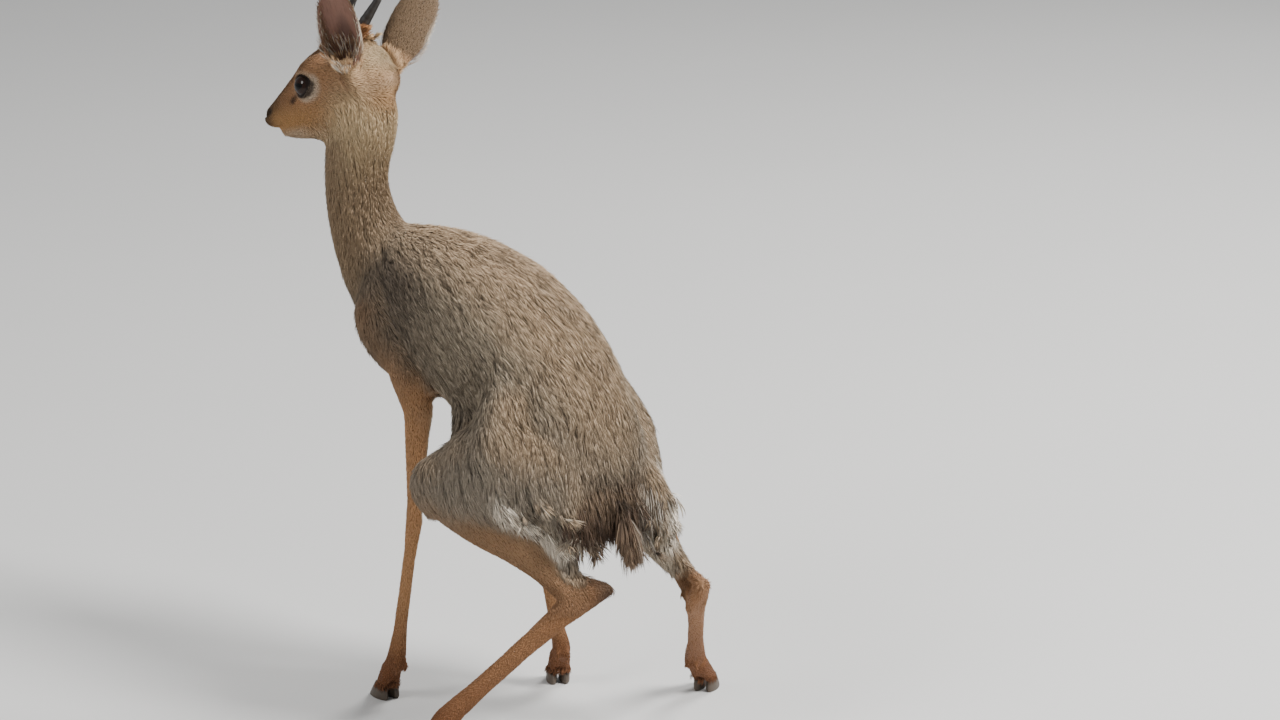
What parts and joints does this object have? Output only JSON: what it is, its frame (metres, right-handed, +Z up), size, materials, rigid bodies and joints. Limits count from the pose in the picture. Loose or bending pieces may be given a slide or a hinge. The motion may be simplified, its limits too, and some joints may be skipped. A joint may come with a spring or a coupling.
{
  "type": "dik-dik figure",
  "caption": "Life-size dik-dik, a small antelope, as a still model crouched on spread legs with its head raised and turned; stands on its hooves.",
  "frame": {"origin": "on the floor, under the middle of the animal's bounding box", "axes": "+Z up, -Y the way the body faces, +X the animal's own left"},
  "size_m": [0.3248, 0.432, 0.5785],
  "materials": {
    "coat_grey": "matt",
    "coat_tan": "matt",
    "ear_skin": "matt",
    "horn": "satin",
    "hoof": "satin",
    "eye": "gloss"
  },
  "bodies": {
    "root": {"head": "coat_tan", "neck": "coat_grey", "torso": "coat_grey", "tail": "coat_grey", "leg_front_left": "coat_tan", "leg_front_right": "coat_tan", "thigh_left": "coat_grey", "thigh_right": "coat_grey", "leg_hind_left": "coat_tan", "leg_hind_right": "coat_tan", "ear_left": "ear_skin", "ear_right": "ear_skin", "eye_left": "eye", "eye_right": "eye", "horn_left": "horn", "horn_right": "horn", "hoof_front_left_a": "hoof", "hoof_front_left_b": "hoof", "hoof_front_right_a": "hoof", "hoof_front_right_b": "hoof", "hoof_hind_left_a": "hoof", "hoof_hind_left_b": "hoof", "hoof_hind_right_a": "hoof", "hoof_hind_right_b": "hoof"}
  },
  "joints": []
}
